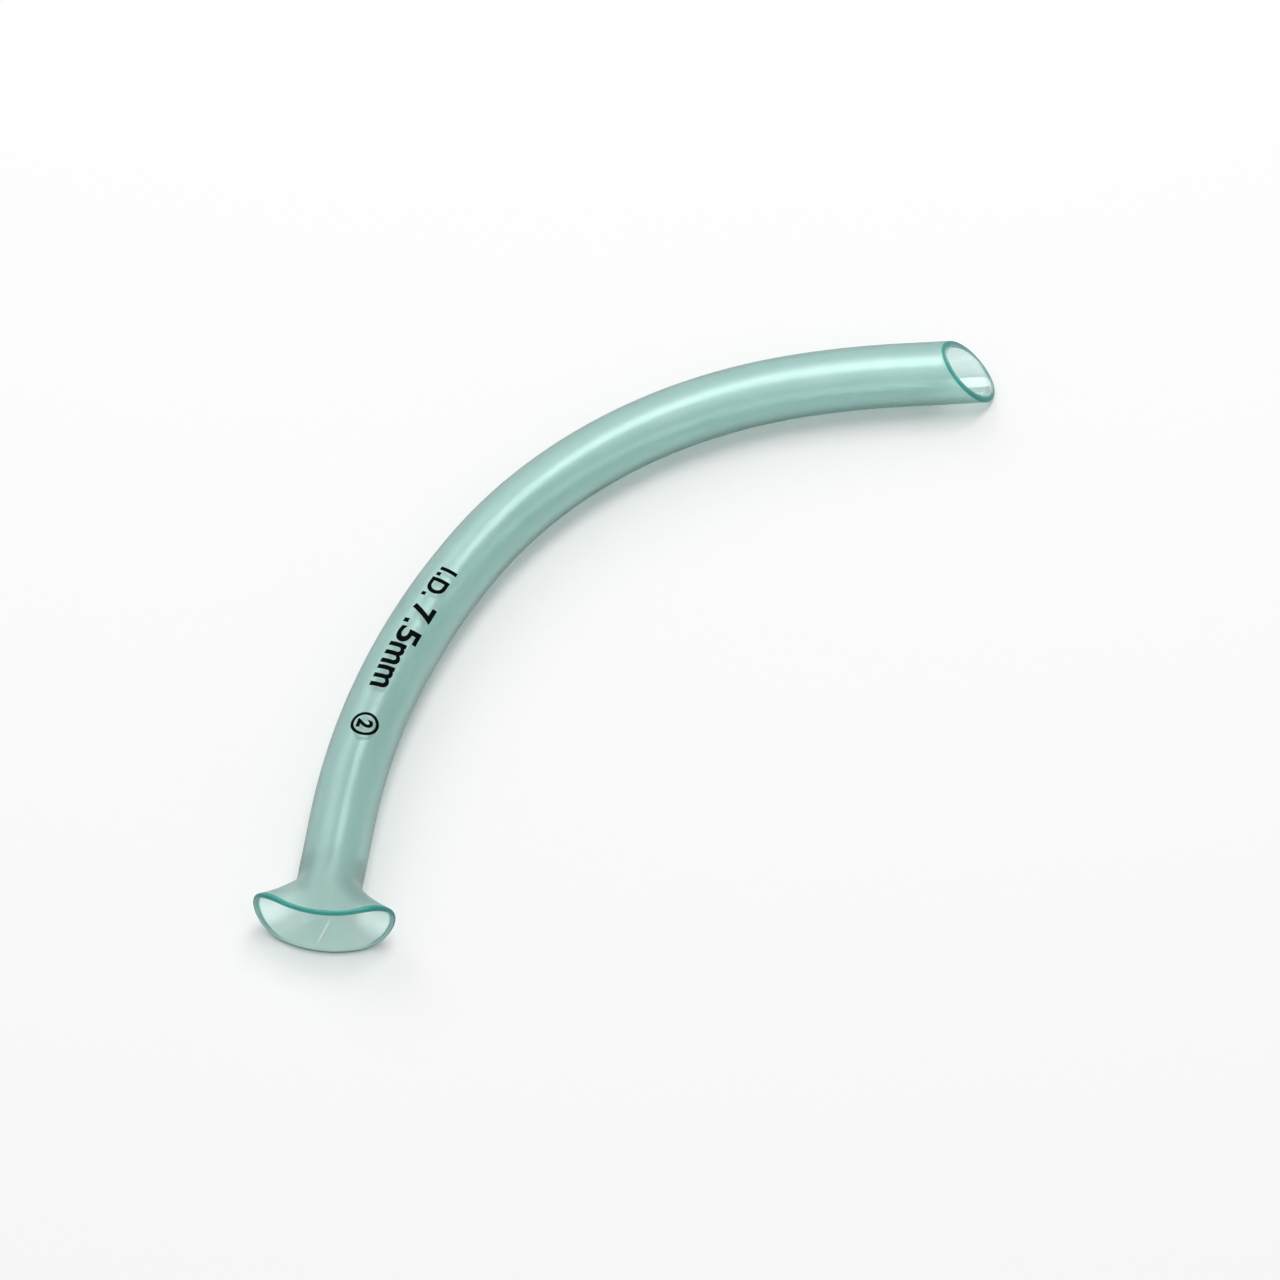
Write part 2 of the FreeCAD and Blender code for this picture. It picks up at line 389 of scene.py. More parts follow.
@dataclass
class Airway:
    """The one moulded piece: tube, flange and bevelled tip, skinned inside and out.

    Attributes:
        sizes: The drawing's sizes.
        throat: Middle of the flange's throat in the row's frame, in mm.
        half_columns: Columns of the mesh over half of the tube's round.
        flat_columns: Columns over the flange's flat middle.
        tube_rows: Rows along the bends of the tube.
        flare_rows: Rows from the throat to the rim.
        tip_rows: Rows along the straight tip.
        taper_rows: Rows along the taper behind the throat.
        round_steps: Pieces in each rounded edge.
        rim_glow_reach: How far the rim's painted teal glow reaches over the outside, in mm: on the
            upper lip, on the lower lip, and what the sides have more.
        tip_glow_reach: How far the tip's painted teal glow does, in mm.
        rim_glow_fill: Share of the rim's cut face that has the painted teal glow, on the upper and
            the lower lip; the rest has painted pale light from the inside.
        tip_glow_fill: The same at the sides of the tip's cut face, at its top and at its bottom.
    """

    sizes: AirwaySizes = field(default_factory=AirwaySizes)
    throat: Vector = field(default_factory=Vector)
    half_columns: int = 48
    flat_columns: int = 30
    tube_rows: int = 110
    flare_rows: int = 30
    tip_rows: int = 16
    taper_rows: int = 4
    round_steps: int = 6
    # Painted light: how far the trimmed edges' painted teal glow reaches, and how much of each cut
    # face it fills
    rim_glow_reach: tuple[float, float, float] = (0.5, 0.25, 0.45)
    tip_glow_reach: float = 0.15
    rim_glow_fill: tuple[float, float] = (1.2, 0.66)
    tip_glow_fill: tuple[float, float, float] = (1.2, 0.45, 0.85)

    def __post_init__(self) -> None:
        """Lay out the centreline and the middle line of the flange's side."""
        sizes = self.sizes
        legs = [Leg(sizes.root_run)]
        legs += [Leg.arc(radius, angle) for radius, angle in sizes.bends]
        legs.append(Leg(sizes.tip_run))
        self.centreline = Path(90, legs)
        flare_legs = [
            Leg.arc(sizes.tube_radius + sizes.throat_radius, sizes.throat_angle, True),
            Leg.arc(
                sizes.tube_radius + sizes.lip_radius, sizes.lip_angle - sizes.throat_angle, True
            ),
            Leg(sizes.lip_allowance),
        ]
        self.flare_line = Path(270, flare_legs)

    def tube_point(self, run: float, angle: float, radius: float) -> Vector:
        """Find a point on the tube's skin.

        Args:
            run: Distance along the centreline, in mm.
            angle: Angle round the tube from its right side, in radians; up is a quarter turn.
            radius: The skin's radius, in mm.

        Returns:
            The point, from the throat, in mm.
        """
        station = self.centreline.at(run)
        flat = station.point + station.right * radius * math.cos(angle)
        return Vector((flat.x, flat.y, radius * math.sin(angle)))

    def bevel_run(self, angle: float, radius: float) -> float:
        """Find where the bevel cuts the skin.

        Args:
            angle: Angle round the tube from its right side, in radians.
            radius: The skin's radius, in mm.

        Returns:
            The distance along the centreline, in mm.
        """
        slope = math.tan(math.radians(self.sizes.bevel_angle))
        height = radius * math.sin(angle) + self.sizes.tube_radius
        return self.centreline.length - height / slope

    def straighten(self, point: Vector, run: float) -> Vector:
        """Find where a point would be if the tube were straight.

        Args:
            point: The point, from the throat, in mm.
            run: The distance along the centreline that it belongs to, in mm.

        Returns:
            The point with the centreline along Y, in mm.
        """
        station = self.centreline.at(run)
        away = point - station.point
        return Vector((away.dot(station.right), run + away.dot(station.forward), point.z))

    def flare_point(self, run: float, spot: tuple[Section, float], radius: float) -> Vector:
        """Find a point on the flange's skin.

        Args:
            run: Distance along the flare's middle line, in mm.
            spot: Part of the section, with an angle on a side or a share of a flat.
            radius: Half the flange's thickness at this skin, in mm.

        Returns:
            The point on the right half, from the throat, in mm.
        """
        station = self.flare_line.at(run)
        part, value = spot
        if part is Section.SIDE:
            flat = station.point - station.right * radius * math.cos(value)
            return Vector((flat.x, flat.y, radius * math.sin(value)))
        return Vector((station.point.x * abs(value), station.point.y, math.copysign(radius, value)))

    def saddle_run(self, spot: tuple[Section, float], radius: float) -> float:
        """Find where the saddle cut meets the skin, by halving.

        Args:
            spot: Part of the section.
            radius: Half the flange's thickness at this skin, in mm.

        Returns:
            The distance along the flare's middle line, in mm.
        """
        low, high = 0.0, self.flare_line.length
        for _ in range(HALVINGS):
            middle = (low + high) / 2
            point = self.flare_point(middle, spot, radius)
            out = math.hypot(point.x, point.y - self.sizes.saddle_centre)
            low, high = (middle, high) if out < self.sizes.saddle_radius else (low, middle)
        return low

    def edge(
        self, outer: Strip, inner: Strip, run: float, fill: float
    ) -> tuple[float, float, Column]:
        """Join an outer and an inner skin over a cut face with two rounded edges.

        Args:
            outer: A strip of the outer skin.
            inner: The strip of the inner skin behind it.
            run: The distance along the centreline that the cut belongs to, in mm.
            fill: Share of the edge's width, from the outside, that has the edge's painted teal
                glow;
            the rest has painted pale light from the inside.

        Returns:
            Where the outer and the inner strip stop, and the spots over the edge between them.
        """
        across = inner.corner - outer.corner
        steps = self.round_steps
        stop_out, first = outer.rounded(across, self.sizes.outer_round, steps)
        stop_in, last = inner.rounded(-across, self.sizes.inner_round, steps)
        places = first + last[::-1]
        gaps = [(two - one).length for one, two in zip(places, places[1:])]
        spots = []
        for at, place in enumerate(places):
            share = sum(gaps[:at]) / sum(gaps)
            # Painted light: the outer part of the edge gets the painted teal glow, the inner part
            # painted pale light from the inside
            pale = min(1.0, max(0.0, (share - fill) / GLOW_FADE + 0.5))
            cut = max(pale, min(1.0, (len(places) - 1 - at) / steps))
            spots.append(Spot(place, self.straighten(place, run), cut, float(at > steps), pale))
        return stop_out, stop_in, spots

    def flare_column(self, spot: tuple[Section, float]) -> Column:
        """Make one column of the flange, from the throat out over the rim and back inside.

        Args:
            spot: Part of the section, with an angle on a side or a share of a flat.

        Returns:
            The column's spots.
        """
        sizes = self.sizes
        outer, inner = [
            Strip(
                partial(self.flare_point, spot=spot, radius=radius), self.saddle_run(spot, radius)
            )
            for radius in (sizes.tube_radius, sizes.mouth_radius)
        ]
        part, value = spot
        upper, level = float(value > 0), 0.0
        if part is Section.SIDE:
            upper, level = (1 + math.sin(value)) / 2, math.cos(value)
        # The painted teal glow reaches further on the upper lip and the sides, and fills more of
        # the upper lip's cut face
        high, low, more = self.rim_glow_reach
        glow_reach = low + (high - low) * upper + more * level
        fill = self.rim_glow_fill[1] + (self.rim_glow_fill[0] - self.rim_glow_fill[1]) * upper
        stop_out, stop_in, edge = self.edge(outer, inner, 0.0, fill)
        outside = [
            Spot(p, p, cut)
            for run, cut in self.runs_to(stop_out, glow_reach, self.flare_rows)
            for p in [outer.place(run)]
        ]
        inside = [
            Spot(p, p, cut, 1.0)
            for run, cut in self.runs_to(stop_in, 0.0, self.flare_rows)[:-2]
            for p in [inner.place(run)]
        ]
        return outside + edge + inside[::-1]

    @staticmethod
    def runs_to(
        stop: float, glow_reach: float, rows: int, start: float = 0.0
    ) -> list[tuple[float, float]]:
        """Space the rows of a skin up to its edge, where the edge's painted teal glow reaches onto
        it.

        Args:
            stop: Where the skin stops, in mm.
            glow_reach: How far from there the edge's painted teal glow reaches, in mm.
            rows: Number of rows before that.
            start: Where the rows begin, in mm.

        Returns:
            Each row's distance along the skin, in mm, and its share of the edge's painted glow.
        """
        reach = stop - glow_reach - start
        even = [(start + reach * row / rows, 0.0) for row in range(rows + 1)]
        return even + [(stop - glow_reach * GLOW_FULL, 1.0)]

    def tube_column(self, angle: float) -> Column:
        """Make one column of the tube, from the throat out over the tip and back inside.

        Args:
            angle: Angle round the tube from its right side, in radians.

        Returns:
            The column's spots.
        """
        sizes = self.sizes
        outer, inner = [
            Strip(
                partial(self.tube_point, angle=angle, radius=radius), self.bevel_run(angle, radius)
            )
            for radius in (sizes.tube_radius, sizes.lumen_radius)
        ]
        # Painted light: share of the tip's cut face with the painted teal glow, most at the sides
        # and least at the top
        flank, top, bottom = self.tip_glow_fill
        middle = (top + bottom) / 2 + (top - bottom) / 2 * math.sin(angle)
        fill = middle + (flank - middle) * abs(math.cos(angle))
        stop_out, stop_in, edge = self.edge(outer, inner, self.centreline.length, fill)
        straight = self.centreline.length - sizes.tip_run
        rest = straight - sizes.throat_taper
        runs = [sizes.throat_taper * row / self.taper_rows for row in range(self.taper_rows)]
        runs += [sizes.throat_taper + rest * row / self.tube_rows for row in range(self.tube_rows)]
        skins = []
        for side, stop in ((0.0, stop_out), (1.0, stop_in)):
            skin = []
            tip = self.runs_to(stop, 0.0 if side else self.tip_glow_reach, self.tip_rows, straight)
            tip = tip[:-2] if side else tip
            for run, cut in [(run, 0.0) for run in runs] + tip:
                inside = max(sizes.lumen_radius, sizes.taper_radius(run))
                point = self.tube_point(run, angle, inside if side else sizes.tube_radius)
                skin.append(Spot(point, self.straighten(point, run), cut, side))
            skins.append(skin)
        return skins[0] + edge + skins[1][::-1]

    def build(self) -> bpy.types.Object:
        """Skin the whole piece.

        Returns:
            The airway's mesh object, in the row's frame.
        """
        mesh = bmesh.new()
        half = [math.pi * (step / self.half_columns - 0.5) for step in range(self.half_columns + 1)]
        around = half + [math.pi - angle for angle in half[-2:0:-1]]
        self.skin(mesh, [self.tube_column(angle) for angle in around])
        right = [self.flare_column((Section.SIDE, angle)) for angle in half]
        shares = [1 - step / self.flat_columns for step in range(1, self.flat_columns + 1)]
        top, bottom = [
            [self.flare_column((Section.FLAT, up * max(share, FLAT_MIDDLE))) for share in shares]
            for up in (1, -1)
        ]
        left = self.mirrored(top[-2::-1] + right[::-1] + bottom[:-1])
        self.skin(mesh, right + top + left + bottom[::-1])
        bmesh.ops.remove_doubles(mesh, verts=mesh.verts, dist=SAME_POINT)
        bmesh.ops.dissolve_degenerate(mesh, edges=mesh.edges, dist=SLIVER)
        piece = finished_mesh("airway_skin", mesh, self.throat)
        piece.data.shade_smooth()
        return piece

    @staticmethod
    def mirrored(columns: list[Column]) -> list[Column]:
        """Mirror columns to the flange's other side."""
        return [[spot.mirrored() for spot in column] for column in columns]

    def dress(self, piece: bpy.types.Object, finish: "SoftPvc") -> None:
        """Give the piece its finish and its place in the part.

        Args:
            piece: The airway's mesh object.
            finish: What it is made of.
        """
        piece.data.materials.append(finish.material())
        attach(piece, "root")
        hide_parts("airway")

    @staticmethod
    def skin(mesh: bmesh.types.BMesh, columns: list[Column]) -> None:
        """Join columns of spots into a closed band of faces.

        Args:
            mesh: The mesh that gets them.
            columns: The columns in order; the last one meets the first.
        """
        layers = mesh.verts.layers
        straight = layers.float_vector.get("straight") or layers.float_vector.new("straight")
        cut = layers.float.get("cut") or layers.float.new("cut")
        inner = layers.float.get("inner") or layers.float.new("inner")
        pale = layers.float.get("pale") or layers.float.new("pale")
        grid = []
        for column in columns:
            grid.append([mesh.verts.new(spot.place) for spot in column])
            for vertex, spot in zip(grid[-1], column):
                vertex[straight], vertex[cut] = spot.straight, spot.cut
                vertex[inner], vertex[pale] = spot.inner, spot.pale
        for one, two in zip(grid, grid[1:] + grid[:1]):
            for a, b, c, d in zip(one, one[1:], two[1:], two):
                mesh.faces.new((a, b, c, d))


@dataclass(frozen=True)
class Word:
    """One word of the size mark.

    Attributes:
        text: Its letters.
        run: Where it starts, as a distance along the centreline from the throat, in mm.
        length: Its length along the tube, in mm.
        height: Height of its tallest letter, in mm.
        foot: How far its foot is from the top of the tube, round the outside, in mm.
        boldness: How much its outline moves out, as a share of the letter size.
    """

    text: str
    run: float
    length: float
    height: float
    foot: float
    boldness: float


@dataclass
class SizePrint:
    """The printed size: words and a ringed figure, wrapped on the tube as a film of ink.

    Attributes:
        airway: The piece that carries the print.
        words: The words, which read from the tip towards the flange.
        dots: The square dots: their middles' run and foot, and their sides, in mm.
        ring_run: Where the middle of the ring is, along the centreline, in mm.
        ring_foot: How far the ring's middle is from the top of the tube, in mm.
        ring_radius: Outer radius of the ring, in mm.
        ring_line: Width of the ring's line, in mm.
        ring_steps: Pieces round the ring.
        grid: Largest piece of the film, in mm, so that it bends with the tube.
        root: How far the film goes into the skin, in mm.
    """

    airway: Airway
    words: tuple[Word, ...] = (
        Word("I", 58.4, 0.64, 2.73, 0.9, 0.0),
        Word("D", 56.2, 2.9, 2.9, 1.15, 0.03),
        Word("7", 50.8, 2.85, 3.6, 1.14, 0.032),
        Word("5", 46.05, 3.0, 3.55, 1.16, 0.024),
        Word("mm", 42.72, 8.75, 2.7, 1.38, 0.022),
        Word("2", 27.6, 1.6, 2.4, 0.95, 0.04),
    )
    dots: tuple[tuple[float, float, float], ...] = (
        (56.95, 0.62, 0.66),
        (52.75, 0.84, 0.66),
        (47.15, 0.86, 0.8),
    )
    ring_run: float = 26.8
    ring_foot: float = -0.25
    ring_radius: float = 2.13
    ring_line: float = 0.48
    ring_steps: int = 72
    grid: float = 0.35
    root: float = 0.006

    def wrapped(self, run: float, foot: float, radius: float) -> Vector:
        """Find a place on the tube.

        Args:
            run: Distance along the centreline, in mm.
            foot: Distance from the top of the tube round the outside of the bend, in mm.
            radius: Distance from the centreline, in mm.

        Returns:
            The point, from the throat, in mm.
        """
        angle = math.pi / 2 + foot / self.airway.sizes.tube_radius
        return self.airway.tube_point(run, angle, radius)

    def letters(self, word: Word) -> bmesh.types.BMesh:
        """Set a word flat, with X as the distance along the tube and Y as the distance round it.

        Args:
            word: The word, with its place and size.

        Returns:
            The drawing.
        """
        curve = bpy.data.curves.new("letters", "FONT")
        curve.body, curve.offset = word.text, word.boldness
        curve.fill_mode = "FRONT"
        holder = bpy.data.objects.new("letters", curve)
        bpy.context.scene.collection.objects.link(holder)
        graph = bpy.context.evaluated_depsgraph_get()
        data = bpy.data.meshes.new_from_object(holder.evaluated_get(graph))
        flat = bmesh.new()
        flat.from_mesh(data)
        bpy.data.objects.remove(holder)
        bpy.data.curves.remove(curve)
        bpy.data.meshes.remove(data)
        low = [min(vertex.co[axis] for vertex in flat.verts) for axis in (0, 1)]
        high = [max(vertex.co[axis] for vertex in flat.verts) for axis in (0, 1)]
        for vertex in flat.verts:
            x, y = [(vertex.co[axis] - low[axis]) / (high[axis] - low[axis]) for axis in (0, 1)]
            vertex.co = (word.run - x * word.length, word.foot - y * word.height, 0.0)
        return flat

    def ring(self) -> bmesh.types.BMesh:
        """Draw the ring flat, in the letters' plane.

        Returns:
            The drawing.
        """
        flat = bmesh.new()
        lines = []
        for radius in (self.ring_radius, self.ring_radius - self.ring_line):
            turns = [2 * math.pi * step / self.ring_steps for step in range(self.ring_steps)]
            middle = self.ring_run, self.ring_foot
            places = [
                (middle[0] + radius * math.cos(turn), middle[1] + radius * math.sin(turn), 0.0)
                for turn in turns
            ]
            lines.append([flat.verts.new(place) for place in places])
        for step in range(self.ring_steps):
            one, two = step, (step + 1) % self.ring_steps
            flat.faces.new((lines[0][one], lines[0][two], lines[1][two], lines[1][one]))
        return flat

    def dot(self, run: float, foot: float, side: float) -> bmesh.types.BMesh:
        """Draw a square dot flat, in the letters' plane.

        Args:
            run: Where its middle is along the centreline, in mm.
            foot: Where its middle is round the tube, in mm.
            side: Its side, in mm.

        Returns:
            The drawing.
        """
        flat = bmesh.new()
        half = side / 2
        corners = [(-half, -half), (half, -half), (half, half), (-half, half)]
        flat.faces.new([flat.verts.new((run + x, foot + y, 0.0)) for x, y in corners])
        return flat

    def slice(self, flat: bmesh.types.BMesh) -> None:
        """Cut a flat drawing along a grid, so that its faces can follow the tube.

        Args:
            flat: The drawing, which is changed.
        """
        bmesh.ops.remove_doubles(flat, verts=flat.verts, dist=SAME_POINT)
        for axis in (0, 1):
            values = [vertex.co[axis] for vertex in flat.verts]
            count = math.ceil((max(values) - min(values)) / self.grid)
            normal = Vector([float(axis == at) for at in range(3)])
            for step in range(1, count):
                place = normal * (min(values) + (max(values) - min(values)) * step / count)
                geometry = flat.verts[:] + flat.edges[:] + flat.faces[:]
                bmesh.ops.bisect_plane(
                    flat, geom=geometry, dist=SLIVER, plane_co=place, plane_no=normal
                )

    def build(self) -> bpy.types.Object:
        """Make the whole print as a film with a top, a bottom and sides.

        Returns:
            The print's mesh object, in the row's frame.
        """
        mesh = bmesh.new()
        sizes = self.airway.sizes
        drawings = [self.letters(word) for word in self.words]
        drawings += [self.dot(*dot) for dot in self.dots]
        for flat in drawings + [self.ring()]:
            self.slice(flat)
            top, bottom = [
                {v: mesh.verts.new(self.wrapped(v.co.x, v.co.y, radius)) for v in flat.verts}
                for radius in (sizes.tube_radius + PRINT_DEPTH, sizes.tube_radius - self.root)
            ]
            for face in flat.faces:
                mesh.faces.new([top[v] for v in face.verts])
                mesh.faces.new([bottom[v] for v in reversed(face.verts)])
            for a, b in [edge.verts for edge in flat.edges if edge.is_boundary]:
                mesh.faces.new((top[a], top[b], bottom[b], bottom[a]))
            flat.free()
        return finished_mesh("size_print", mesh, self.airway.throat)

    def dress(self, piece: bpy.types.Object, finish: "PadInk") -> None:
        """Give the print its ink and let it go with the tube."""
        piece.data.materials.append(finish.material())
        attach(piece, "root")


# Finishes


Feed = bpy.types.NodeSocket | float | tuple[float, ...]


@dataclass(frozen=True)
class Wiring:
    """The nodes of one finish, each fed by other nodes' outputs or by plain values.

    Attributes:
        tree: The tree that gets them.
    """

    tree: bpy.types.NodeTree

    def add(
        self, kind: str, feeds: dict[str | int, Feed], output: str | int = 0, **settings: object
    ) -> bpy.types.NodeSocket:
        """Add a node for one of its outputs.

        Args:
            kind: The node's type name.
            feeds: Input socket name or number to what feeds it.
            output: Name or number of the output.
            **settings: The node's own properties.

        Returns:
            The output.
        """
        links = {at: feed for at, feed in feeds.items() if isinstance(feed, bpy.types.NodeSocket)}
        values = {at: feed for at, feed in feeds.items() if at not in links}
        return add_node(self.tree, kind, links, values, **settings).outputs[output]

    def attribute(self, name: str, output: str = "Fac") -> bpy.types.NodeSocket:
        """Read what the mesh's points carry under a name."""
        return self.add("ShaderNodeAttribute", {}, output, attribute_name=name)

    def maths(self, operation: str, one: Feed, two: Feed = 0.0) -> bpy.types.NodeSocket:
        """Calculate with one or two numbers."""
        return self.add("ShaderNodeMath", {0: one, 1: two}, operation=operation)

    def mix(self, share: Feed, one: Feed, two: Feed) -> bpy.types.NodeSocket:
        """Mix two numbers, by the share of the second."""
        return self.add("ShaderNodeMix", {0: share, 2: one, 3: two})

    def tint(self, share: Feed, one: Feed, two: Feed) -> bpy.types.NodeSocket:
        """Mix two colours, by the share of the second."""
        return self.add("ShaderNodeMix", {0: share, 6: one, 7: two}, 2, data_type="RGBA")

    def fit(
        self, value: Feed, ends: tuple[float, float], to: tuple[Feed, Feed] = (0.0, 1.0)
    ) -> bpy.types.NodeSocket:
        """Carry a number over from one range to another, and keep it there.

        Args:
            value: The number.
            ends: The range that it is read in.
            to: The range that it is carried to.

        Returns:
            The new number.
        """
        names = "Value", "From Min", "From Max", "To Min", "To Max"
        return self.add("ShaderNodeMapRange", dict(zip(names, (value, *ends, *to))))


def new_material(name: str) -> tuple[bpy.types.Material, Wiring]:
    """Start a material.

    Args:
        name: The material's name.

    Returns:
        The material and its wiring, without a node yet.
    """
    material = bpy.data.materials.new(name)
    material.use_nodes = True
    material.node_tree.nodes.clear()
    return material, Wiring(material.node_tree)


@dataclass(frozen=True)
class SoftPvc:
    """Plasticised PVC, tinted clear green and moulded between a satin cavity and a polished core.

    The wall passes blurred light and looks pale where it is thin. Light that has run along the
    wall leaves at the trimmed edges; this glow is painted on them and next to them in deep teal,
    and their inner part is painted pale for the light that reaches it from the inside. The
    outside is satin, so the lamp shows as a broad soft stripe. The core leaves the inside
    glossier, and behind the mouth it is polished, so that the lamp shows as a crisp band inside
    the tip.

    Attributes:
        tint: Colour of the wall's surface.
        cloud_tint: The same where the compound is a little denser.
        edge: Painted teal glow of the light that leaves the wall at the trimmed edges.
        pale: Painted pale light on their inner part, where it is lit from the inside.
        scar: Colour of a speck and of the white line along the floor of the mouth.
        absorbed: Colour that the wall's body lets through.
        density: How fast the body absorbs the rest, per metre.
        ior: Refractive index of soft PVC.
        clearness: How much light passes the outer skin without being scattered.
        core_clearness: The same on the core's side.
        edge_clearness: The same at the trimmed edges, low so that their painted glow shows.
        scar_clearness: The same in a speck and along the white line in the mouth.
        outer_roughness: Roughness of the cavity's side.
        inner_roughness: Roughness of the core's side.
        mouth_roughness: The same in the flared mouth, where the core is duller.
        mouth_reach: How far inside the mouth it changes, in mm.
        cut_roughness: Roughness of the trimmed edges.
        scar_roughness: Roughness of a speck and of the white line in the mouth.
        roughness_spread: How far the streaks change the outside's roughness either way.
        streak: Width and length of the drawing streaks, in mm.
        cloud: Width and length of the clouds in the compound, in mm.
        bloom: Width and length of the fine plasticiser bloom, in mm. It is drawn coarser than
            the real 0.05 mm.
        details: Octaves of the streaks, the clouds and the bloom.
        streak_range: The streaks' values at which the roughness is least and most.
        cloud_range: The clouds' values at which the colour is that of the wall and of the cloud.
        depths: Height of the streaks, the clouds, the bloom and the specks, in mm.
        speck_spacing: Mean distance between specks, in mm.
        speck_radius: Radius of a speck, in mm.
        speck_core: Share of it that is full.
        line_across: Level direction across the white line along the floor of the mouth.
        line_offset: How far the line is from the throat in that direction, in mm.
        line_width: Half the line's width, in mm.
        line_core: Share of it that is full.
        line_ends: Where the line starts and ends ahead of the throat, in mm.
        line_fade: How far its ends fade, in mm.
    """

    tint: str = "f6fcfa"
    cloud_tint: str = "edf8f5"
    edge: str = "1fa89c"
    pale: str = "f4fbf9"
    scar: str = "ffffff"
    absorbed: str = "3ccac0"
    density: float = 262.0
    ior: float = 1.53
    clearness: float = 0.995
    core_clearness: float = 0.93
    edge_clearness: float = 0.45
    scar_clearness: float = 0.05
    outer_roughness: float = 0.34
    inner_roughness: float = 0.07
    mouth_roughness: float = 0.28
    mouth_reach: float = 8.0
    cut_roughness: float = 0.4
    scar_roughness: float = 0.6
    roughness_spread: float = 0.04
    streak: tuple[float, float] = (0.35, 9.0)
    cloud: tuple[float, float] = (3.0, 6.0)
    bloom: tuple[float, float] = (0.2, 0.2)
    details: tuple[float, float, float] = (2.0, 3.0, 1.0)
    streak_range: tuple[float, float] = (0.3, 0.7)
    cloud_range: tuple[float, float] = (0.35, 0.65)
    depths: tuple[float, float, float, float] = (0.0015, 0.006, 0.0006, 0.004)
    speck_spacing: float = 9.0
    speck_radius: float = 0.14
    speck_core: float = 0.5
    line_across: tuple[float, float, float] = (0.969, -0.246, 0.0)
    line_offset: float = 1.18
    line_width: float = 0.25
    line_core: float = 0.25
    line_ends: tuple[float, float] = (-2.6, -8.2)
    line_fade: float = 1.0

    def material(self) -> bpy.types.Material:
        """Make the material.

        Returns:
            The soft PVC, with its surface and its absorbing body.
        """
        material, wiring = new_material("soft_pvc_moulded_satin")
        straight = wiring.attribute("straight", "Vector")
        cut, pale, inner = [wiring.attribute(name) for name in ("cut", "pale", "inner")]
        noises = []
        for (across, along), detail in zip((self.streak, self.cloud, self.bloom), self.details):
            pitch = 1 / across, 1 / along, 1 / across
            scaled = wiring.add(
                "ShaderNodeVectorMath", {0: straight, 1: pitch}, operation="MULTIPLY"
            )
            feeds = {"Vector": scaled, "Scale": 1.0, "Detail": detail}
            noises.append(wiring.add("ShaderNodeTexNoise", feeds, "Fac"))
        streaks, clouds, bloom = noises
        pitch = 1 / self.speck_spacing
        scaled = wiring.add("ShaderNodeVectorMath", {0: straight, 3: pitch}, operation="SCALE")
        away = wiring.add("ShaderNodeTexVoronoi", {"Vector": scaled, "Scale": 1.0}, "Distance")
        edge = self.speck_radius / self.speck_spacing
        speck = wiring.fit(away, (edge, edge * self.speck_core))
        # Random specks, and a fine white line along the floor of the mouth
        scar = wiring.maths("MAXIMUM", speck, self.white_floor_line(wiring, straight, inner))

        cloud = wiring.fit(clouds, self.cloud_range)
        colour = wiring.tint(cloud, linear(self.tint), linear(self.cloud_tint))
        # Painted light: the trimmed edges and the outside next to them get a painted teal glow,
        # their inner part painted pale light from the inside
        colour = wiring.tint(cut, colour, wiring.tint(pale, linear(self.edge), linear(self.pale)))
        colour = wiring.tint(scar, colour, linear(self.scar))
        clear = wiring.mix(inner, self.clearness, self.core_clearness)
        # The painted glow is made less clear, so that it shows
        clear = wiring.mix(cut, clear, self.edge_clearness)
        clear = wiring.mix(scar, clear, self.scar_clearness)

        least, most = [self.outer_roughness + up * self.roughness_spread for up in (-1, 1)]
        satin = wiring.fit(streaks, self.streak_range, (least, most))
        along = wiring.add("ShaderNodeSeparateXYZ", {0: straight}, "Y")
        mouth = 0.0, self.mouth_reach
        core = wiring.fit(along, mouth, (self.mouth_roughness, self.inner_roughness))
        rough = wiring.mix(inner, satin, core)
        rough = wiring.mix(cut, rough, self.cut_roughness)
        rough = wiring.mix(scar, rough, self.scar_roughness)

        height = 0.0
        for value, depth in zip((streaks, clouds, bloom, speck), self.depths):
            height = wiring.maths("ADD", height, wiring.maths("MULTIPLY", value, depth))
        surface = wiring.add(
            "ShaderNodeBsdfPrincipled",
            {
                "Base Color": colour,
                "Roughness": rough,
                "Normal": wiring.add("ShaderNodeBump", {"Height": height, "Distance": MM}),
                "Transmission Weight": clear,
                "IOR": self.ior,
                "Coat Weight": wiring.fit(along, mouth, (0.0, inner)),
                "Coat Roughness": self.inner_roughness,
                "Coat IOR": self.ior,
            },
        )
        absorbing = {"Color": linear(self.absorbed), "Density": self.density}
        body = wiring.add("ShaderNodeVolumeAbsorption", absorbing)
        add_node(wiring.tree, "ShaderNodeOutputMaterial", {"Surface": surface, "Volume": body})
        return material

    def white_floor_line(
        self, wiring: Wiring, straight: bpy.types.NodeSocket, inner: bpy.types.NodeSocket
    ) -> bpy.types.NodeSocket:
        """Mark a fine white line along the floor of the mouth.

        Args:
            wiring: The material's nodes.
            straight: Place on the straightened piece, in mm.
            inner: 1 inside the piece.

        Returns:
            1 on the line, and 0 away from it.
        """
        along, up = [wiring.add("ShaderNodeSeparateXYZ", {0: straight}, axis) for axis in "YZ"]
        feeds = {0: straight, 1: self.line_across}
        across = wiring.add("ShaderNodeVectorMath", feeds, "Value", operation="DOT_PRODUCT")
        away = wiring.maths("ABSOLUTE", wiring.maths("SUBTRACT", across, self.line_offset))
        start, end = self.line_ends
        mark = inner
        for value, outer, full in (
            (away, self.line_width, self.line_width * self.line_core),
            (along, start, start - self.line_fade),
            (along, end, end + self.line_fade),
            (up, 0.0, -self.line_fade),
        ):
            mark = wiring.maths("MULTIPLY", mark, wiring.fit(value, (outer, full)))
        return mark


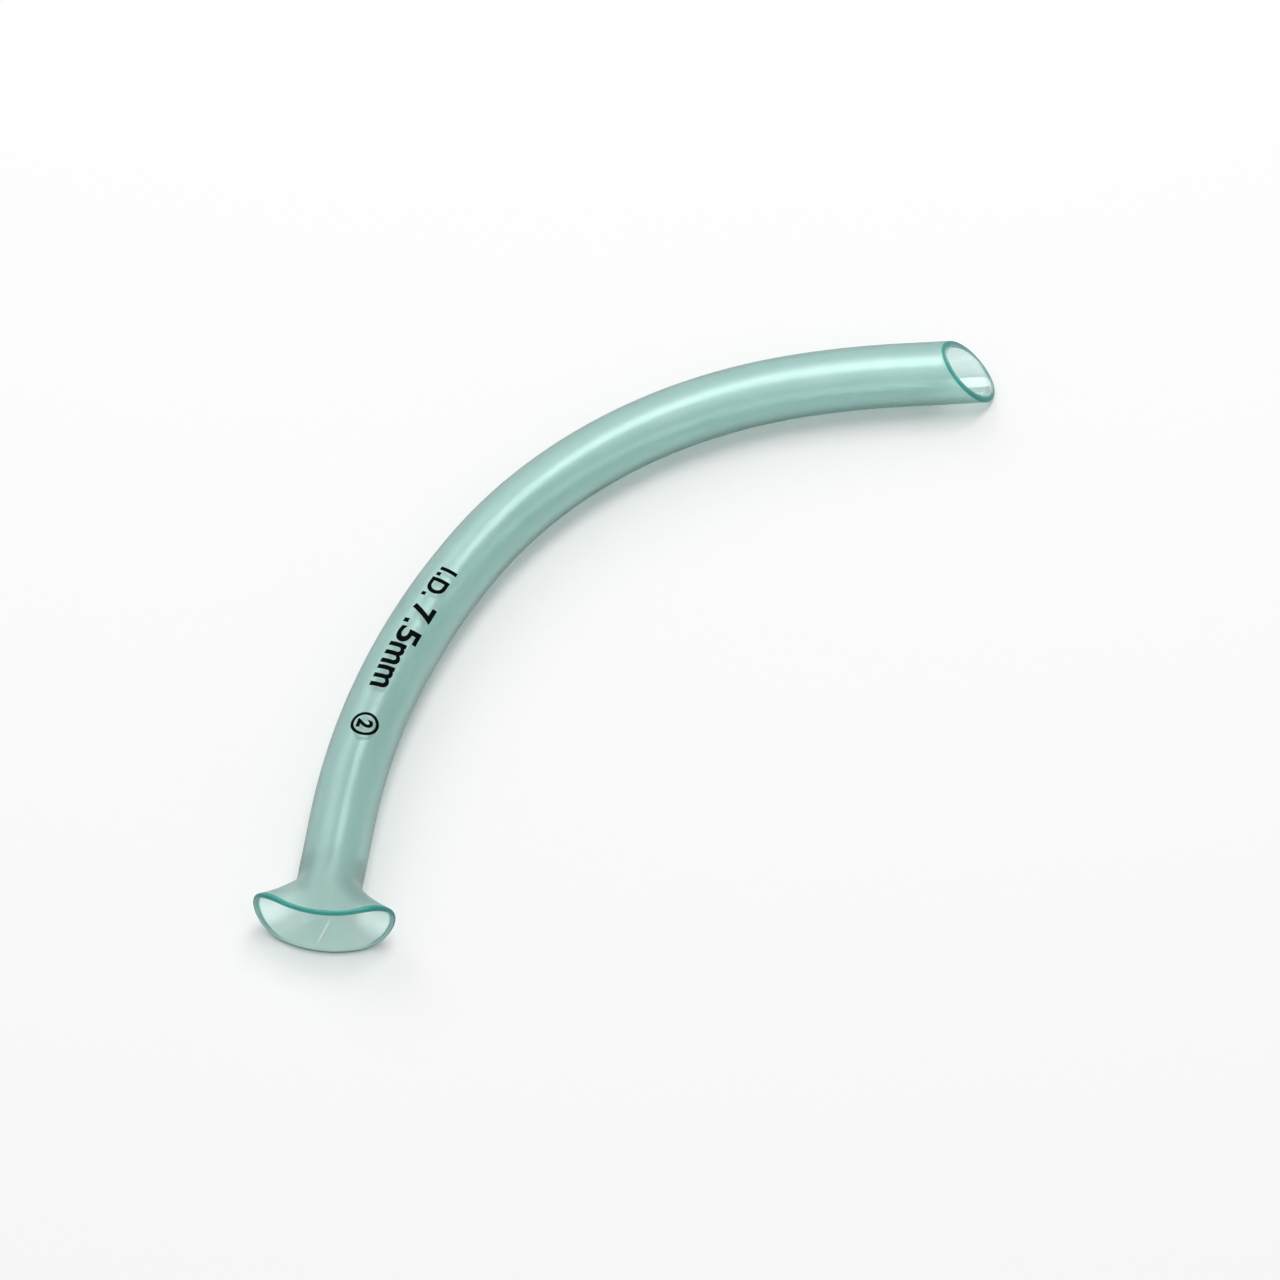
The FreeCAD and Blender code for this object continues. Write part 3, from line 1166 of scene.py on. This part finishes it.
@dataclass(frozen=True)
class PadInk:
    """Black vinyl ink, pad printed: a dense film with a dull sheen and a slightly uneven coat.

    Attributes:
        black: Colour where the coat is full.
        thin: Colour where the coat is thin.
        roughness: Roughness of the dry film.
        roughness_spread: How far it changes either way.
        mottle: Size of the unevenness, in mm.
        detail: Its octaves.
        coat_range: The unevenness's values at which the coat is full and thin.
        depth: Height of the unevenness, in mm.
        ior: Refractive index of the vinyl.
        gloss: Specular level, low because the dry film is full of pigment.
    """

    black: str = "050606"
    thin: str = "0d0f0f"
    roughness: float = 0.7
    roughness_spread: float = 0.08
    mottle: float = 0.25
    detail: float = 2.0
    coat_range: tuple[float, float] = (0.45, 0.75)
    depth: float = 0.004
    ior: float = 1.5
    gloss: float = 0.03

    def material(self) -> bpy.types.Material:
        """Make the material.

        Returns:
            The printing ink.
        """
        material, wiring = new_material("pad_printed_vinyl_ink")
        place = wiring.add("ShaderNodeTexCoord", {}, "Object")
        feeds = {"Vector": place, "Scale": 1 / (self.mottle * MM), "Detail": self.detail}
        mottle = wiring.add("ShaderNodeTexNoise", feeds, "Fac")
        coat = wiring.fit(mottle, self.coat_range)
        least, most = [self.roughness + up * self.roughness_spread for up in (-1, 1)]
        relief = {"Height": mottle, "Distance": self.depth * MM}
        surface = wiring.add(
            "ShaderNodeBsdfPrincipled",
            {
                "Base Color": wiring.tint(coat, linear(self.black), linear(self.thin)),
                "Roughness": wiring.fit(mottle, (0.0, 1.0), (least, most)),
                "Normal": wiring.add("ShaderNodeBump", relief),
                "IOR": self.ior,
                "Specular IOR Level": self.gloss,
            },
        )
        add_node(wiring.tree, "ShaderNodeOutputMaterial", {"Surface": surface})
        return material


# The studio


WHITE = (1.0, 1.0, 1.0, 1.0)


def seen_directly(wiring: Wiring, gloss: float = 1.0) -> bpy.types.NodeSocket:
    """Make a factor that is 1 for rays from the camera or a clear wall.

    Args:
        wiring: The nodes that get it.
        gloss: The factor for rays from a gloss.

    Returns:
        The factor, which is 0 for all other rays.
    """
    camera, glossy, clear = [
        wiring.add("ShaderNodeLightPath", {}, f"Is {kind} Ray")
        for kind in ("Camera", "Glossy", "Transmission")
    ]
    either = wiring.maths("MAXIMUM", camera, wiring.maths("MULTIPLY", glossy, gloss))
    return wiring.maths("MAXIMUM", either, clear)


@dataclass(frozen=True)
class WhiteLaminate:
    """White melamine laminate, pressed matt: an even near-white without a gloss of its own.

    Attributes:
        white: Its colour.
        roughness: Roughness of the pressed surface.
        gloss: Specular level, low because the surface is matt.
        lift: What is added where it is seen, so that it ends near white but keeps the shadow.
        lift_through: The same where it is seen through a clear wall.
    """

    white: str = "f3f3f3"
    roughness: float = 0.8
    gloss: float = 0.1
    lift: float = 0.12
    lift_through: float = 0.24

    def material(self) -> bpy.types.Material:
        """Make the material.

        Returns:
            The table's laminate.
        """
        material, wiring = new_material("white_melamine_laminate")
        seen = wiring.maths("MULTIPLY", seen_directly(wiring), self.lift)
        through = wiring.add("ShaderNodeLightPath", {}, "Is Transmission Ray")
        surface = wiring.add(
            "ShaderNodeBsdfPrincipled",
            {
                "Base Color": linear(self.white),
                "Roughness": self.roughness,
                "Specular IOR Level": self.gloss,
                "Emission Color": WHITE,
                "Emission Strength": wiring.mix(through, seen, self.lift_through),
            },
        )
        add_node(wiring.tree, "ShaderNodeOutputMaterial", {"Surface": surface})
        return material


@dataclass(frozen=True)
class Softbox:
    """A soft lamp that faces the piece.

    Attributes:
        name: Its name.
        azimuth: Direction to it round the table, in degrees from +X.
        elevation: Its height above the table, in degrees.
        distance: Distance from the piece, in m.
        width: Its width, in m.
        length: Its length along its upright side, in m.
        radiance: Its brightness, where a white surface is 1.
    """

    name: str
    azimuth: float
    elevation: float
    distance: float
    width: float
    length: float
    radiance: float

    def build(self) -> None:
        """Make the lamp."""
        lamp = bpy.data.lights.new(self.name, "AREA")
        lamp.shape, lamp.size, lamp.size_y = "RECTANGLE", self.width, self.length
        lamp.energy = self.radiance * math.pi * self.width * self.length
        holder = bpy.data.objects.new(self.name, lamp)
        turn, rise = math.radians(self.azimuth), math.radians(self.elevation)
        level = math.cos(rise)
        towards = Vector((level * math.cos(turn), level * math.sin(turn), math.sin(rise)))
        holder.location = towards * self.distance
        holder.rotation_euler = (-towards).to_track_quat("-Z", "Y").to_euler()
        holder.visible_camera = False
        bpy.context.scene.collection.objects.link(holder)


@dataclass(frozen=True)
class Studio:
    """The table, the lamps, the surroundings and the camera.

    Attributes:
        softboxes: The lamps.
        surroundings: Brightness of the room, where white is 1.
        gloss: Share of the way from that to white at which a gloss shows the room.
        table_side: Side of the table top, in m.
        aim: Point on the table that the camera looks at, in mm.
        ahead: Level direction of the camera's view.
        pitch: How far the camera looks down, in degrees.
        distance: Distance from the camera to that point, in mm.
        lens: Focal length, in mm.
        sensor: Width of the camera's sensor, in mm.
        clip: Nearest and farthest distance that the camera shows, in m.
    """

    softboxes: tuple[Softbox, ...] = (
        Softbox("overhead_softbox", 75.0, 74.0, 1.2, 0.5, 1.0, 4.4),
        Softbox("rear_left_softbox", 135.0, 40.0, 1.5, 0.9, 0.9, 1.6),
    )
    surroundings: float = 0.43
    gloss: float = 0.35
    table_side: float = 4.0
    aim: tuple[float, float] = (0.808, 2.400)
    ahead: tuple[float, float] = (-0.139173, 0.990268)
    pitch: float = 51.0
    distance: float = 1500.0
    lens: float = 285.2
    sensor: float = 36.0
    clip: tuple[float, float] = (0.05, 20.0)

    def build(self, laminate: WhiteLaminate) -> None:
        """Set up the whole studio.

        Args:
            laminate: The finish of the table top.
        """
        self.table(laminate)
        for softbox in self.softboxes:
            softbox.build()
        self.room()
        self.camera()

    def table(self, laminate: WhiteLaminate) -> None:
        """Lay the table top under the piece.

        Args:
            laminate: Its finish.
        """
        half = self.table_side / 2
        data = bpy.data.meshes.new("table_top")
        corners = [(-half, -half, 0.0), (half, -half, 0.0), (half, half, 0.0), (-half, half, 0.0)]
        data.from_pydata(corners, [], [(0, 1, 2, 3)])
        data.materials.append(laminate.material())
        floor = bpy.data.objects.new("table_top", data)
        bpy.context.scene.collection.objects.link(floor)

    def room(self) -> None:
        """Surround the piece with a plain pale room, which is white where it is seen."""
        world = bpy.data.worlds.new("pale_room")
        world.use_nodes = True
        world.node_tree.nodes.clear()
        wiring = Wiring(world.node_tree)
        strength = wiring.mix(seen_directly(wiring, self.gloss), self.surroundings, 1.0)
        light = wiring.add("ShaderNodeBackground", {"Color": WHITE, "Strength": strength})
        add_node(wiring.tree, "ShaderNodeOutputWorld", {"Surface": light})
        bpy.context.scene.world = world

    def camera(self) -> None:
        """Put the camera where the photograph was taken from."""
        lens = bpy.data.cameras.new("view_camera")
        lens.sensor_width, lens.lens = self.sensor, self.lens
        lens.clip_start, lens.clip_end = self.clip
        holder = bpy.data.objects.new("view_camera", lens)
        pitch = math.radians(self.pitch)
        level = math.cos(pitch)
        ahead = Vector((level * self.ahead[0], level * self.ahead[1], -math.sin(pitch)))
        holder.location = (Vector((*self.aim, 0.0)) - ahead * self.distance) * MM
        holder.rotation_euler = ahead.to_track_quat("-Z", "Y").to_euler()
        bpy.context.scene.collection.objects.link(holder)
        bpy.context.scene.camera = holder


def main() -> None:
    """Build the pieces in order and report each of them."""
    logging.basicConfig(level=logging.INFO, format="%(name)s: %(message)s")
    bpy.context.scene.view_settings.view_transform = "Standard"
    mount = frame["record"]["mounts"][0]["pos_m"]
    sizes = AirwaySizes()
    airway = Airway(sizes, Vector(mount) / MM - Vector((0.0, sizes.throat_taper, 0.0)))
    size_print = SizePrint(airway)
    for part, finish in ((airway, SoftPvc()), (size_print, PadInk())):
        piece = part.build()
        part.dress(piece, finish)
        log.info("%s: %d faces", piece.name, len(piece.data.polygons))
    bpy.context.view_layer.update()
    Studio().build(WhiteLaminate())


if __name__ == "__main__":
    main()
